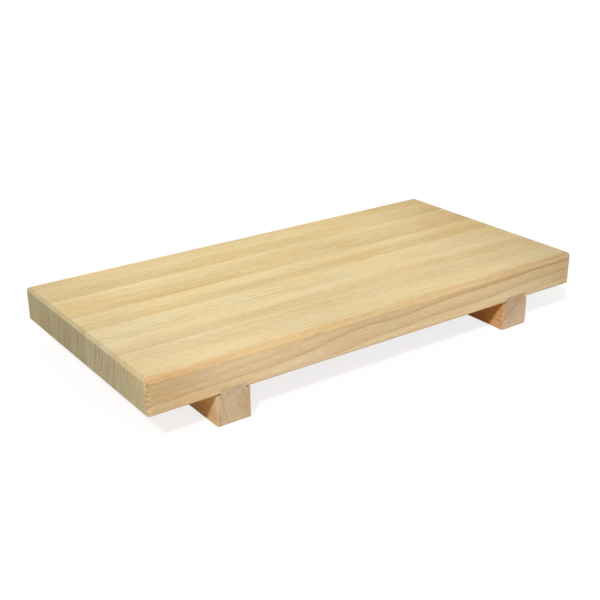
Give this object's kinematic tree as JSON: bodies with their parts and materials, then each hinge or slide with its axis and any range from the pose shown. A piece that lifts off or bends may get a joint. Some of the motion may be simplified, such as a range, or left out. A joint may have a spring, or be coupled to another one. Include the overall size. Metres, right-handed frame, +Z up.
{
  "type": "footed cutting board",
  "caption": "Thick wooden cutting board, edge-glued from staves and bevelled round the top, raised on bar feet that are let into its underside with sliding dovetails.",
  "frame": {"origin": "on the ground, under the middle of the board", "axes": "+X along the board's length and grain, +Y from the front edge to the back edge, +Z up"},
  "size_m": [0.42, 0.21, 0.0535],
  "materials": {
    "board_wood": "planed bare softwood, pale straw, satin",
    "foot_wood": "planed bare softwood, pinkish tan, matt end grain"
  },
  "bodies": {
    "root": {"back_edge_stave": "board_wood", "back_inner_stave": "board_wood", "back_middle_stave": "board_wood", "front_middle_stave": "board_wood", "front_inner_stave": "board_wood", "front_edge_stave": "board_wood", "left_foot": "foot_wood", "right_foot": "foot_wood"}
  },
  "joints": []
}
